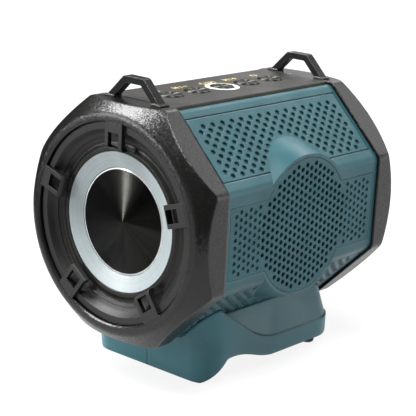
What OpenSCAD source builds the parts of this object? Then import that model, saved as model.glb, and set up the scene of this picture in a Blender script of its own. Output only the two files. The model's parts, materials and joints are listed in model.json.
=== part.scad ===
// Portable speaker: an octagonal body with two round ends on a battery foot.
// Millimetres, +Z up, the body axis runs along X and the grille faces -Y.
// The floor is z = 0 and the body axis lies above the origin.

/* [Body] */
// Width of the end caps across the flats
cap_w = 130; // [124:1:138]
// Height of the end caps' lowest flat above the floor
stand_h = 23.4; // [22.5:0.1:26]
// Length of the shell between the end caps
shell_len = 133.2; // [129:0.2:140]
// How far the shell lies inside the end caps
shell_step = 1.7; // [1.4:0.1:2.4]
// Thickness of the shell wall
shell_t = 3.9; // [3.5:0.1:4.4]
// Radius on the long edges of shell and caps
edge_r = 6; // [3:0.5:8]

/* [Grilles] */
// Radius of the round grille field
grille_r = 37.9; // [36.5:0.1:38.6]
// How far the grille lies below the body axis
grille_z = 1.5; // [0:0.1:2]
// Half height of the straight grille field
grille_h = 20; // [18:0.5:22]
// Thickness of the grille plate
grille_t = 2; // [1.6:0.1:2.4]
// Diameter of a grille hole
hole_d = 2.9; // [2.4:0.1:3.1]
// Spacing of the holes along the body
hole_px = 3.88; // [3.7:0.02:4.2]
// Spacing of the holes up the face
hole_pz = 4.2; // [4:0.05:4.6]
// Widening of the grille boss towards the body, per millimetre
boss_k = 0.34; // [0.2:0.02:0.4]
// Diameter of a dimple on the slanted faces
dimple_d = 3.2; // [2.6:0.1:3.5]
// Depth of the dimples
dimple_t = 1.3; // [0.8:0.1:1.5]

/* [Controls] */
// Width of the control panel from front to back
panel_w = 48; // [44:0.5:50]
// Thickness of the control panel
panel_t = 4; // [3.4:0.1:4.6]
// Diameter of a button
button_d = 14.5; // [13:0.1:15.5]
// Distance between two buttons
button_p = 21.3; // [20.5:0.1:23]
// Outer diameter of the light ring
ring_d = 19.7; // [18.5:0.1:20.4]

/* [End caps] */
// Length of an end cap beyond the shell
cap_len = 19.7; // [19.4:0.1:22.4]
// Length of the cap's collar up to the crease on a flat
collar_len = 14.6; // [13.8:0.1:15.4]
// Width of the rim between the mouth and a flat
rim_w = 9.7; // [9.2:0.1:10.2]
// Number of claws round the mouth
claws = 5; // [3:1:6]
// Width of a claw
claw_w = 12.4; // [11:0.2:14]
// Length of a claw from the mouth inwards
claw_l = 15.3; // [14.3:0.1:15.7]

/* [Radiators] */
// Width of the surround between the mouth and the cone
roll_w = 17; // [16.5:0.1:17.7]
// Width of the pale cone round the disc
cone_w = 8.7; // [7.3:0.1:11.3]
// Depth of the surround's trough
roll_h = 1.7; // [1.3:0.1:2.1]

/* [Strap loops] */
// Height of a loop above its cap
loop_h = 12.9; // [11:0.1:18]
// Width of a loop at its feet
loop_w = 39.6; // [36:0.2:44]
// Width of a loop at its top
loop_top = 14; // [12:0.5:18]
// Thickness of the loop bar
loop_t = 3.75; // [3:0.05:4.5]
// Width of the loop strip along the body
loop_b = 5.4; // [4.6:0.1:6]

/* [Base] */
// Half width of the base
base_hw = 45; // [43:0.5:46]
// Distance of the lip from the middle of the body
lip_x = 51.7; // [51:0.1:53]
// Distance of the rear end from the middle of the body
rear_x = 68; // [66:0.5:70]
// Height of the side skirt's lower edge
skirt_z = 5.6; // [4.4:0.1:6.2]
// Height of the crease between skirt and bank
crease_z = 16.4; // [15.4:0.1:17.6]
// Height of the arch behind the lip
arch_z = 12.9; // [11.5:0.1:14]
// Lean of the bank from upright in degrees
bank_a = 17; // [14:0.5:20]
// Height of the two rubber feet
foot_h = 8.6; // [7.6:0.1:9]

/* [Hidden] */
$fn = 72;
gap = 0.3;
s2 = sqrt(2);
cap_h = cap_w / 2;
axis_h = stand_h + cap_h;
sh = cap_h - shell_step;
shell_x = shell_len / 2;
cap_x = shell_x + cap_len;
crease_x = shell_x + collar_len;
mouth_r = cap_h - rim_w;
claw_r = mouth_r - claw_l;
cone_r = mouth_r - roll_w;
disc_r = cone_r - cone_w;
inner_h = sh - shell_t;
boss_r = grille_r + 1.9;
boss_h = 27;
ledge_r = grille_r - 1.1;
bore_r = grille_r - 0.7;
field_r = ledge_r - hole_d / 2 + 0.2;
panel_z = cap_h - panel_t;
slot_x = 2 * button_p + button_d / 2 + 6;
board_z = panel_z - 5.4;
wall_u = cap_x - 6.8;
flange_t = 1;
roll_in = cone_r + 2.3;
roll_out = mouth_r - 2.8;
rim_r = mouth_r - 4.4;
cove_r = mouth_r - 8.7;
rim_u = cap_x - 2.2;
frame_r = roll_out + 7;
frame_d = wall_u - shell_x - 4.9;
screw_r = frame_r - 2.2;
cone_u = wall_u - 0.2;
disc_u = cone_u - 2.6;
claw_u = wall_u + 2.9;
tip_u = wall_u + 2;
loop_x = (shell_x + crease_x) / 2 - 4.2;
drv_y = sh - grille_t - 2;
drv_r = bore_r - 0.3;
bay_z = axis_h - sh - 6.1;
bay_in = 3.2;
front_r = 14;
back_r = 22;
lean = 0.12;
peak_z = axis_h - (sh * s2 - base_hw) + 0.6;
rail_z = bay_z - 3;
block_l = lip_x + rear_x + 40;
mouth_w = 65;
screw_x = [-27, 30];
screw_y = base_hw - 7.6;
foot_x = 47.9;
foot_y = base_hw - 8.8;

// Points of a rounded corner b between its neighbours a and c.
function unit(v) = v / norm(v);
function corner(a, b, c, r, n) =
    let (u = unit(a - b), v = unit(c - b), w = acos(u * v),
         m = b + unit(u + v) * r / sin(w / 2),
         p = b + u * r / tan(w / 2) - m, q = b + v * r / tan(w / 2) - m,
         a0 = atan2(p[1], p[0]), d = atan2(q[1], q[0]) - a0,
         t = d > 180 ? d - 360 : (d < -180 ? d + 360 : d))
    r <= 0 ? [b] : [for (i = [0:n]) m + r * [cos(a0 + t * i / n), sin(a0 + t * i / n)]];
function rounded(pts, radii, n = 8) =
    let (k = len(pts))
    [for (i = [0:k - 1]) each corner(pts[(i + k - 1) % k], pts[i], pts[(i + 1) % k], radii[i], n)];

// Regular octagon with rounded corners, h is half the width across flats.
module octagon(h, r) {
    v = h / cos(22.5);
    polygon(rounded([for (k = [0:7]) v * [cos(45 * k + 22.5), sin(45 * k + 22.5)]],
                    [for (k = [0:7]) r], 8));
}

// Octagonal prism along X, from x0 to x1, round the body axis.
module oct_bar(h, r, x0, x1) {
    translate([x0, 0, 0])
        rotate([90, 0, 90])
            linear_extrude(x1 - x0)
                octagon(h, r);
}

// Turns a piece built along Z so that it faces out of one body side.
module at_axis() {
    translate([0, 0, axis_h])
        children();
}
module to_right() {
    at_axis()
        rotate([0, 90, 0])
            children();
}
module to_left() {
    mirror([1, 0, 0])
        to_right()
            children();
}
module to_front() {
    translate([0, 0, axis_h - grille_z])
        rotate([90, 0, 0])
            children();
}
module to_rear() {
    mirror([0, 1, 0])
        to_front()
            children();
}

// Hole centres of the staggered grid over a field of half size hx by hz.
function grid(px, pz, hx, hz) =
    [for (i = [-ceil(hx / px):ceil(hx / px)], j = [-ceil(hz / pz) - 1:ceil(hz / pz) + 1])
        let (p = [i * px, (j + (i % 2 == 0 ? 0 : 0.5)) * pz])
        if (abs(p[0]) <= hx && abs(p[1]) <= hz) p];

module grille_outline(g) {
    square([2 * (shell_x - 3.4 - g), 2 * (grille_h - g)], center = true);
    circle(grille_r - g);
}

// Holes go through inside the round field and are blind outside it.
module grille_plate() {
    field = grid(hole_px, hole_pz, shell_x - 5.4, grille_r);
    translate([0, 0, sh - grille_t])
        difference() {
            linear_extrude(grille_t)
                difference() {
                    grille_outline(gap);
                    for (p = field)
                        if (norm(p) < field_r + (abs(p[1]) < grille_h - 7 ? 1 : 0))
                            translate(p)
                                circle(d = hole_d);
                }
            translate([0, 0, grille_t - 0.9])
                linear_extrude(2)
                    for (p = field)
                        if (norm(p) > grille_r + 0.4 && abs(p[1]) < grille_h - hole_d / 2 - 0.8)
                            translate(p)
                                circle(d = hole_d - 0.3);
        }
}

// Border groove and dimples of one slanted panel, drawn on its own flat face.
module slant_panel(zc) {
    half = sh * tan(22.5);
    s0 = -half + 6.6;
    s1 = half - 5.2;
    x1 = shell_x - 1.8;
    rows = floor((s1 - s0 - 9.4) / 3.05);
    translate([0, 0, sh - 0.8])
        linear_extrude(3)
            difference() {
                translate([-x1, s0])
                    square([2 * x1, s1 - s0]);
                translate([-x1 + 0.8, s0 + 0.8])
                    square([2 * x1 - 1.6, s1 - s0 - 1.6]);
            }
    translate([0, 0, sh - dimple_t])
        linear_extrude(4)
            for (j = [0:rows])
                for (i = [-8:8])
                    let (s = s0 + 3.2 + (s1 - s0 - 9.4) * j / rows,
                         x = 2 * hole_px * (i + (j % 2 == 0 ? 0 : 0.5)),
                         d = sh - (sh - s) / s2,
                         r = norm([x, (sh + s) / s2 + zc]))
                        if (abs(x) < x1 - 3.2 && r > boss_r + boss_k * d + 1)
                            translate([x, s])
                                circle(d = dimple_d);
}

// One half of the body shell, the front one.
module shell_half() {
    difference() {
        union() {
            difference() {
                oct_bar(sh, edge_r, -shell_x, shell_x);
                rotate([45, 0, 0])
                    slant_panel(grille_z);
                rotate([135, 0, 0])
                    mirror([0, 1, 0])
                        slant_panel(-grille_z);
            }
            translate([0, 0, -grille_z])
                rotate([90, 0, 0])
                    translate([0, 0, sh - boss_h])
                        cylinder(r1 = boss_r + boss_k * boss_h, r2 = boss_r, h = boss_h);
        }
        oct_bar(inner_h, edge_r - 2, -shell_x - 1, shell_x + 1);
        translate([0, 0, -grille_z])
            rotate([90, 0, 0]) {
                translate([0, 0, sh - grille_t])
                    linear_extrude(grille_t + 1)
                        grille_outline(0);
                cylinder(r = ledge_r, h = sh);
                cylinder(r = bore_r, h = drv_y);
            }
        translate([-shell_x - 1, -panel_w / 2 - gap, panel_z])
            cube([shell_len + 2, panel_w, 40]);
        translate([-slot_x, -12, inner_h - 3])
            cube([2 * slot_x, 24, 12]);
        translate([-cap_w, 0, -cap_w])
            cube(2 * cap_w);
    }
    for (x = [-44, 44])
        translate([x, -16, -inner_h - 0.5])
            difference() {
                cylinder(d = 7, h = 7.5);
                translate([0, 0, 3])
                    cylinder(d = 2.4, h = 9);
            }
}

module front_shell() {
    color("#2f6f7c")
        at_axis()
            shell_half();
}
module rear_shell() {
    color("#2f6f7c")
        mirror([0, 1, 0])
            at_axis()
                shell_half();
}
module front_grille() {
    color("#3c7884")
        to_front()
            grille_plate();
}
module rear_grille() {
    color("#3c7884")
        to_rear()
            grille_plate();
}

// Control panel with its button holes, seat for the light ring and board posts.
module control_panel() {
    color("#3a3836")
        translate([0, 0, axis_h + panel_z])
            difference() {
                union() {
                    translate([-shell_x + gap, -panel_w / 2, 0])
                        cube([shell_len - 2 * gap, panel_w, panel_t]);
                    for (x = [-slot_x + 4, -button_p / 2, button_p / 2, slot_x - 4])
                        for (y = [-8, 8])
                            translate([x, y, -5.4])
                                cylinder(d = 4, h = 6);
                }
                for (i = [-2, -1, 1, 2])
                    translate([i * button_p, 0, -1])
                        cylinder(d = button_d + 2 * gap, h = panel_t + 2);
                translate([0, 0, -1])
                    cylinder(d = button_d + 2.6, h = panel_t + 2);
                translate([0, 0, panel_t - 1.5])
                    cylinder(d = ring_d + 0.2, h = 2);
            }
}

// Button with a dished spun face, a collar below the panel and a stem.
module button(d, collar_z) {
    color("#2b2a29")
        translate([0, 0, axis_h + panel_z])
            rotate_extrude()
                polygon([[0, -3.6], [1.6, -3.6], [1.6, -2.8], [d / 2 + 0.9, -2.8], [d / 2 + 0.9, collar_z],
                         [d / 2, collar_z], [d / 2, panel_t + 0.1], [d / 2 - 0.5, panel_t + 0.6],
                         [d / 2 - 1, panel_t + 0.6], [0, panel_t + 0.2]]);
}
module play_button() {
    translate([-2 * button_p, 0, 0])
        button(button_d, -0.3);
}
module previous_button() {
    translate([-button_p, 0, 0])
        button(button_d, -0.3);
}
module power_button() {
    button(button_d - 0.5, -1.7);
}
module next_button() {
    translate([button_p, 0, 0])
        button(button_d, -0.3);
}
module mode_button() {
    translate([2 * button_p, 0, 0])
        button(button_d, -0.3);
}

// Pale ring round the power button with a light guide below it.
module power_light_ring() {
    color("#f4f4f2")
        translate([0, 0, axis_h + panel_z])
            rotate_extrude()
                polygon([[button_d / 2 + 0.1, -1.4], [button_d / 2 + 1.1, -1.4], [button_d / 2 + 1.1, panel_t - 1.5],
                         [ring_d / 2, panel_t - 1.5], [ring_d / 2, panel_t + 0.15], [button_d / 2 + 0.1, panel_t + 0.15]]);
}

// Board below the panel with one switch under each button.
module button_board() {
    color("#1d4f35")
        translate([0, 0, axis_h + board_z]) {
            difference() {
                translate([-slot_x + 1, -11, -1.6])
                    cube([2 * slot_x - 2, 22, 1.6]);
                for (x = [-slot_x + 4, -button_p / 2, button_p / 2, slot_x - 4])
                    for (y = [-8, 8])
                        translate([x, y, -3])
                            cylinder(d = 2.2, h = 5);
            }
            for (i = [-2:2])
                translate([i * button_p, 0, 0]) {
                    translate([-2.4, -2.4, -0.1])
                        cube([4.8, 4.8, 0.6]);
                    cylinder(d = 2.4, h = 0.9);
                }
        }
}

// Amplifier board on the posts in the bottom of the body.
module main_board() {
    color("#1d4f35")
        translate([0, 0, axis_h - inner_h + 7]) {
            difference() {
                translate([-50, -22, 0])
                    cube([100, 44, 1.6]);
                for (x = [-44, 44])
                    for (y = [-16, 16])
                        translate([x, y, -1])
                            cylinder(d = 2.6, h = 4);
            }
            translate([-14, -9, 1.5])
                cube([28, 18, 1.6]);
            for (x = [-32, 30])
                translate([x, 0, 1.5])
                    cylinder(d = 9, h = 11);
            for (y = [-15, 15])
                translate([-6, y - 3, 1.5])
                    cube([12, 6, 7]);
        }
}

// Outer skin of an end cap: an octagon cut by a turned chamfer and rounded rim.
module cap_skin(h, r, k, rim) {
    intersection() {
        translate([0, 0, shell_x])
            linear_extrude(cap_x - shell_x)
                octagon(h, r);
        rotate_extrude()
            polygon(rounded([[0, shell_x], [k - shell_x, shell_x], [k - cap_x, cap_x], [0, cap_x]],
                            [0, 0, rim, 0]));
    }
}

// One claw: a slotted finger that bridges the surround and hooks down at its tip.
module claw() {
    top = cap_x - 0.2;
    difference() {
        translate([0, claw_w / 2, 0])
            rotate([90, 0, 0])
                linear_extrude(claw_w)
                    polygon(rounded([[mouth_r + 1, claw_u], [mouth_r + 1, top], [claw_r, top], [claw_r, tip_u],
                                     [claw_r + 1.7, tip_u], [claw_r + 2.6, claw_u + 1.1],
                                     [mouth_r - 5, claw_u + 1.1], [mouth_r - 3.6, claw_u]],
                                    [0, 0, 2.4, 0.6, 0.3, 0.8, 1, 1], 6));
        translate([claw_r + 1.8, -claw_w / 2 + 2.5, claw_u - 2])
            cube([8, claw_w - 5, 10]);
    }
}

// End cap with a grooved rim, a cove, claws and a spigot into the shell.
module end_cap() {
    k = crease_x + cap_h;
    color("#343231")
        difference() {
            union() {
                difference() {
                    cap_skin(cap_h, edge_r, k, 5);
                    translate([0, 0, shell_x + 2.5])
                        linear_extrude(wall_u - shell_x - 2.5)
                            octagon(cap_h - 4, edge_r - 2.5);
                    rotate_extrude()
                        polygon(concat(
                            [[0, shell_x - 1], [0, cap_x + 1], [mouth_r + 1.8, cap_x + 1], [mouth_r, cap_x - 0.8],
                             [mouth_r, rim_u - 1.2], [mouth_r - 0.8, rim_u - 1.2], [mouth_r - 0.8, rim_u]],
                            corner([mouth_r - 0.8, rim_u], [rim_r, rim_u], [rim_r - 2.2, wall_u + 1.7], 0.6, 4),
                            corner([rim_r, rim_u], [rim_r - 2.2, wall_u + 1.7], [cove_r, wall_u + 0.3], 6, 6),
                            [[cove_r, wall_u + 0.3], [cove_r, wall_u], [mouth_r - 2.2, wall_u],
                             [mouth_r - 2.2, shell_x - 1]]));
                }
                for (i = [0:claws - 1])
                    rotate(180 + 360 * i / claws)
                        claw();
                translate([0, 0, shell_x - 6])
                    linear_extrude(8)
                        difference() {
                            octagon(inner_h - 0.4, edge_r - 2);
                            circle(mouth_r - 1.9);
                        }
            }
            for (i = [0:3])
                rotate(45 + 90 * i)
                    translate([screw_r, 0, wall_u - 1])
                        cylinder(d = 2.4, h = 5);
            for (y = [-1, 1])
                translate([-cap_h, y * (loop_w / 2 - 2.6), loop_x])
                    rotate([0, 90, 0])
                        cylinder(d = 3.2, h = 3.2);
        }
}
module left_end_cap() {
    to_left()
        end_cap();
}
module right_end_cap() {
    to_right()
        end_cap();
}

// Flat strap loop with foot plates and pegs into the cap's top flat.
module strap_loop() {
    a = loop_w / 2;
    b = loop_top / 2;
    f = loop_t * norm([a - b, loop_h]) / loop_h;
    g = loop_t * (norm([a - b, loop_h]) - (a - b)) / loop_h;
    color("#181817")
        translate([loop_x, 0, axis_h + cap_h]) {
            translate([-loop_b / 2, 0, 0])
                rotate([90, 0, 90])
                    linear_extrude(loop_b)
                        polygon(concat(
                            [[a, 0]], corner([a, 0], [b, loop_h], [-b, loop_h], 3, 6),
                            corner([b, loop_h], [-b, loop_h], [-a, 0], 3, 6), [[-a, 0], [-a + f, 0]],
                            corner([-a + f, 0], [-b + g, loop_h - loop_t], [b - g, loop_h - loop_t], 1.5, 4),
                            corner([-b + g, loop_h - loop_t], [b - g, loop_h - loop_t], [a - f, 0], 1.5, 4),
                            [[a - f, 0]]));
            for (y = [-1, 1]) {
                translate([-loop_b / 2 - 0.6, y * (a - 2.6) - 3.4, 0])
                    cube([loop_b + 1.2, 6.8, 1]);
                translate([0, y * (a - 2.6), -2.8])
                    cylinder(d = 2.6, h = 3.2);
            }
        }
}
module left_strap_loop() {
    mirror([1, 0, 0])
        strap_loop();
}
module right_strap_loop() {
    strap_loop();
}

// Ring behind the mouth that clamps the surround's flange.
module radiator_frame() {
    color("#242424")
        difference() {
            rotate_extrude()
                polygon([[roll_out + 0.4, wall_u - frame_d], [frame_r, wall_u - frame_d], [frame_r, wall_u],
                         [roll_out + 2.8, wall_u], [roll_out + 2.8, wall_u - flange_t],
                         [roll_out + 0.4, wall_u - flange_t]]);
            for (i = [0:3])
                rotate(45 + 90 * i)
                    translate([screw_r, 0, wall_u - frame_d - 1])
                        cylinder(d = 3.4, h = frame_d + 3);
        }
}
module left_radiator_frame() {
    to_left()
        radiator_frame();
}
module right_radiator_frame() {
    to_right()
        radiator_frame();
}

module frame_screws() {
    color("#8a8c8e")
        for (i = [0:3])
            rotate(45 + 90 * i)
                translate([screw_r, 0, 0]) {
                    translate([0, 0, wall_u - frame_d - 2])
                        difference() {
                            cylinder(d = 4.2, h = 2);
                            translate([0, 0, -1])
                                cylinder(d = 2, h = 2, $fn = 6);
                        }
                    translate([0, 0, wall_u - frame_d - 0.5])
                        cylinder(d = 1.8, h = frame_d + 3);
                }
}
module left_frame_screws() {
    to_left()
        frame_screws();
}
module right_frame_screws() {
    to_right()
        frame_screws();
}

// Rubber ring that goes on from the cove: flange under the cap, trough and an edge on the cone.
module surround() {
    mid = (roll_in + cove_r) / 2;
    low = wall_u - flange_t;
    color("#1f1f1f")
        rotate_extrude()
            polygon(rounded([[cone_r + 0.3, low], [cone_r + 0.3, wall_u], [roll_in, wall_u], [mid, wall_u - roll_h],
                             [cove_r - 0.1, wall_u], [roll_out + 2.6, wall_u], [roll_out + 2.6, low],
                             [cove_r + 0.3, low], [mid, low - roll_h], [roll_in, low]],
                            [0, 0.3, 0.6, 2.6, 0, 0, 0, 0, 2, 0], 8));
}
module left_surround() {
    to_left()
        surround();
}
module right_surround() {
    to_right()
        surround();
}

// Pale conical ring with a rim under the surround and a shelf under the disc.
module radiator_cone() {
    color("#cfd6d8")
        rotate_extrude()
            polygon([[disc_r - 5, disc_u - 2.8], [disc_r + 1.4, disc_u - 2.8], [cone_r + 0.4, cone_u - 2.2],
                     [roll_in - 0.1, cone_u - 2.2], [roll_in - 0.1, wall_u - flange_t],
                     [cone_r, wall_u - flange_t], [cone_r, cone_u], [disc_r, disc_u],
                     [disc_r, disc_u - 1.6], [disc_r - 5, disc_u - 1.6]]);
}
module left_radiator_cone() {
    to_left()
        radiator_cone();
}
module right_radiator_cone() {
    to_right()
        radiator_cone();
}

// Spun metal disc with a bright cut edge.
module radiator_disc() {
    color("#151515")
        rotate_extrude()
            polygon([[0, disc_u - 1.6], [disc_r - 0.1, disc_u - 1.6], [disc_r - 0.1, disc_u - 0.5],
                     [disc_r - 0.7, disc_u], [0, disc_u]]);
}
module left_radiator_disc() {
    to_left()
        radiator_disc();
}
module right_radiator_disc() {
    to_right()
        radiator_disc();
}

// Basket of a full-range driver behind a grille, with open windows.
module driver_basket() {
    b = drv_y - 24;
    color("#3a3d40")
        difference() {
            rotate_extrude()
                polygon([[27.5, drv_y - 3], [27.5, drv_y - 1.5], [31.6, drv_y - 1.5], [31.6, drv_y],
                         [drv_r, drv_y], [drv_r, drv_y - 2.2], [31.4, drv_y - 4], [20, b], [10.4, b],
                         [10.4, b + 1.8], [18.8, b + 1.8], [28.6, drv_y - 3]]);
            for (i = [0:5])
                rotate(60 * i)
                    translate([16, -5, b + 5])
                        cube([20, 10, 9]);
        }
}
module front_driver_basket() {
    to_front()
        driver_basket();
}
module rear_driver_basket() {
    to_rear()
        driver_basket();
}

module driver_magnet() {
    b = drv_y - 24;
    color("#4a4c50")
        rotate_extrude()
            polygon([[0, b - 17], [17, b - 17], [17, b - 14], [19, b - 14], [19, b - 3], [17, b - 3], [17, b],
                     [10, b], [10, b - 3], [8.4, b - 3], [8.4, b - 13], [6.4, b - 13], [6.4, b + 1], [0, b + 1]]);
}
module front_driver_magnet() {
    to_front()
        driver_magnet();
}
module rear_driver_magnet() {
    to_rear()
        driver_magnet();
}

module driver_surround() {
    color("#1c1c1c")
        rotate_extrude() {
            difference() {
                translate([28, drv_y - 1.5])
                    difference() {
                        circle(2.2);
                        circle(1.5);
                    }
                translate([0, drv_y - 21.5])
                    square([60, 20]);
            }
            translate([29.6, drv_y - 1.5])
                square([1.6, 0.7]);
            translate([25, drv_y - 1.5])
                square([1.4, 0.7]);
        }
}
module front_driver_surround() {
    to_front()
        driver_surround();
}
module rear_driver_surround() {
    to_rear()
        driver_surround();
}

// Paper cone with its dust dome and voice coil tube.
module driver_cone() {
    b = drv_y - 24;
    color("#2a2a2c")
        rotate_extrude()
            polygon([[7.2, b - 8], [7.9, b - 8], [7.9, b + 7], [25.6, drv_y - 2.3], [26.6, drv_y - 2.3],
                     [26.6, drv_y - 1.5], [25, drv_y - 1.5], [10, b + 9.4], [8, b + 11], [4, b + 12.4],
                     [0, b + 12.8], [0, b + 12], [4, b + 11.6], [7.2, b + 10]]);
}
module front_driver_cone() {
    to_front()
        driver_cone();
}
module rear_driver_cone() {
    to_rear()
        driver_cone();
}

// Plan of the base with its wide rear curves.
module base_plan() {
    polygon(rounded([[-lip_x - 20, -base_hw], [rear_x, -base_hw], [rear_x, base_hw], [-lip_x - 20, base_hw]],
                    [0, back_r, back_r, 0], 12));
}

// Upright block whose rounded front leans forward with the panel above the lip.
module front_block() {
    translate([-lip_x, 0, 0])
        rotate([0, -atan(lean), 0])
            translate([0, 0, -40])
                linear_extrude(block_l)
                    polygon(rounded([[0, -base_hw], [block_l, -base_hw], [block_l, base_hw], [0, base_hw]],
                                    [front_r, 0, 0, front_r], 12));
}

// Side outline: low lip, arch, skirt and the sweep behind the pillar.
module base_side() {
    arch = [for (i = [0:12]) let (x = -31 + 3 * i)
        [x, skirt_z + (arch_z - skirt_z) * (1 + cos(15 * i)) / 2]];
    polygon(concat(
        [[-lip_x - 20, 0], [-lip_x + 1.6, 0]],
        corner([-lip_x + 1.6, 0], [-36, arch_z - 0.1], [-31, arch_z], 4, 6),
        arch,
        corner([arch[12][0], skirt_z], [rear_x - 14, skirt_z], [rear_x, skirt_z + 4], 30, 6),
        [[rear_x + 2, skirt_z + 4.6], [rear_x + 2, crease_z]],
        corner([rear_x, crease_z], [-5, crease_z], [-47, peak_z], 48, 12),
        [[-47, peak_z], [-49, peak_z + 4], [-lip_x - 20, peak_z + 4]]));
}

// Bank between skirt and body, leaning in all round.
module bank() {
    h = 34;
    d = h * tan(bank_a);
    w = base_hw - 0.8;
    x1 = rear_x - 0.8;
    c = back_r - 0.8;
    translate([0, 0, crease_z - 0.2]) {
        rotate([90, 0, 90])
            translate([0, 0, -43])
                linear_extrude(43 + x1 - c)
                    polygon([[-w, 0], [w, 0], [w - d, h], [-w + d, h]]);
        rotate([90, 0, 0])
            translate([0, 0, -w + c])
                linear_extrude(2 * (w - c))
                    polygon([[0, 0], [x1, 0], [x1 - d, h], [0, h]]);
        for (y = [-1, 1])
            translate([x1 - c, y * (w - c), 0])
                cylinder(r1 = c, r2 = c - d, h = h);
    }
}

// Whole base before it is cut into its two halves.
module base_body() {
    difference() {
        union() {
            intersection() {
                translate([0, 100, 0])
                    rotate([90, 0, 0])
                        linear_extrude(200)
                            base_side();
                linear_extrude(100)
                    base_plan();
                front_block();
            }
            bank();
        }
        at_axis() {
            oct_bar(sh + 0.2, edge_r, -100, 100);
            oct_bar(cap_h + gap, edge_r, shell_x - gap, 120);
            oct_bar(cap_h + gap, edge_r, -120, -shell_x + gap);
        }
        translate([-lip_x + 4.4, -base_hw + bay_in, -1])
            linear_extrude(bay_z + 1)
                bay_plan(0);
        translate([rear_x - 20, -mouth_w / 2, -1])
            cube([40, mouth_w, rail_z + 0.6]);
        for (x = screw_x)
            for (y = [-screw_y, screw_y])
                translate([x, y, bay_z - 1])
                    cylinder(d = 2.6, h = 5);
    }
}

// Plan of the battery bay, its first corner at the origin.
module bay_plan(g) {
    l = rear_x + lip_x - 4.4 - bay_in;
    w = 2 * (base_hw - bay_in);
    polygon(rounded([[g, g], [l - g, g], [l - g, w - g], [g, w - g]],
                    [front_r - 5 - g, back_r - 3 - g, back_r - 3 - g, front_r - 5 - g], 10));
}

module base_front_half() {
    color("#2f6f7c")
        difference() {
            base_body();
            translate([-150, 0, -50])
                cube(300);
        }
}
module base_rear_half() {
    color("#2f6f7c")
        difference() {
            base_body();
            translate([-150, -300, -50])
                cube(300);
        }
}

// Black frame in the bay: plate, cheeks behind the lip and the two battery rails.
module battery_frame() {
    x0 = -lip_x + 4.4 + gap;
    color("#1b1b1b")
        difference() {
            intersection() {
                translate([-lip_x + 4.4, -base_hw + bay_in, 0])
                    linear_extrude(bay_z)
                        bay_plan(gap);
                union() {
                    translate([-100, -50, rail_z])
                        cube([200, 100, 3]);
                    translate([0, 100, 0])
                        rotate([90, 0, 0])
                            linear_extrude(200)
                                polygon([[x0 - 1, 2.4], [x0 + 2.4, 2.4], [-33.6, arch_z - 0.6], [-31, rail_z + 1],
                                         [x0 - 1, rail_z + 1]]);
                    for (y = [-1, 1])
                        mirror([0, y > 0 ? 0 : 1, 0]) {
                            translate([-20, 31, skirt_z + 1.4])
                                cube([rear_x + 14, 3, rail_z - skirt_z - 0.9]);
                            translate([-20, 27, skirt_z + 1.4])
                                cube([rear_x + 14, 5, 2.6]);
                            translate([foot_x - 5.4, 31.2, foot_h])
                                cube([10.8, foot_y - 26, rail_z - foot_h + 0.5]);
                        }
                }
            }
            for (x = screw_x)
                for (y = [-screw_y, screw_y])
                    translate([x, y, 0]) {
                        cylinder(d = 3.4, h = bay_z + 1);
                        cylinder(d = 6.2, h = rail_z + 1.4);
                    }
            for (y = [-foot_y, foot_y])
                translate([foot_x, y, 0])
                    cylinder(r = 5.5, h = foot_h);
        }
}

// Terminal block with three upright blades.
module terminal_block() {
    color("#c9a04a")
        translate([-20, 0, rail_z - 6]) {
            translate([0, -18, 0])
                cube([10, 36, 6]);
            for (y = [-12, 0, 12])
                translate([9.9, y - 0.5, 1])
                    cube([12, 1, 4]);
        }
}

// Rubber feet at the rear of the base.
module foot() {
    color("#141414")
        translate([foot_x, -foot_y, 0])
            rotate_extrude()
                polygon(rounded([[0, 0], [3.8, 0], [5.1, foot_h], [0, foot_h]], [0, 1.2, 0, 0], 6));
}
module front_foot() {
    foot();
}
module rear_foot() {
    mirror([0, 1, 0])
        foot();
}

module base_screws() {
    color("#8a8c8e")
        for (x = screw_x)
            for (y = [-screw_y, screw_y])
                translate([x, y, rail_z + 1.4 - 2]) {
                    difference() {
                        cylinder(d = 5.4, h = 2);
                        translate([0, 0, -1])
                            cylinder(d = 2.6, h = 2, $fn = 6);
                    }
                    translate([0, 0, 1.5])
                        cylinder(d = 2, h = 5);
                }
}

front_shell();
rear_shell();
front_grille();
rear_grille();
control_panel();
play_button();
previous_button();
power_button();
next_button();
mode_button();
power_light_ring();
button_board();
main_board();
left_end_cap();
right_end_cap();
left_strap_loop();
right_strap_loop();
left_radiator_frame();
right_radiator_frame();
left_surround();
right_surround();
left_radiator_cone();
right_radiator_cone();
left_radiator_disc();
right_radiator_disc();
left_frame_screws();
right_frame_screws();
front_driver_basket();
rear_driver_basket();
front_driver_magnet();
rear_driver_magnet();
front_driver_surround();
rear_driver_surround();
front_driver_cone();
rear_driver_cone();
base_front_half();
base_rear_half();
battery_frame();
terminal_block();
front_foot();
rear_foot();
base_screws();
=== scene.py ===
import json
import math

import bmesh
import bpy
from mathutils import Matrix, Vector


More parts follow.
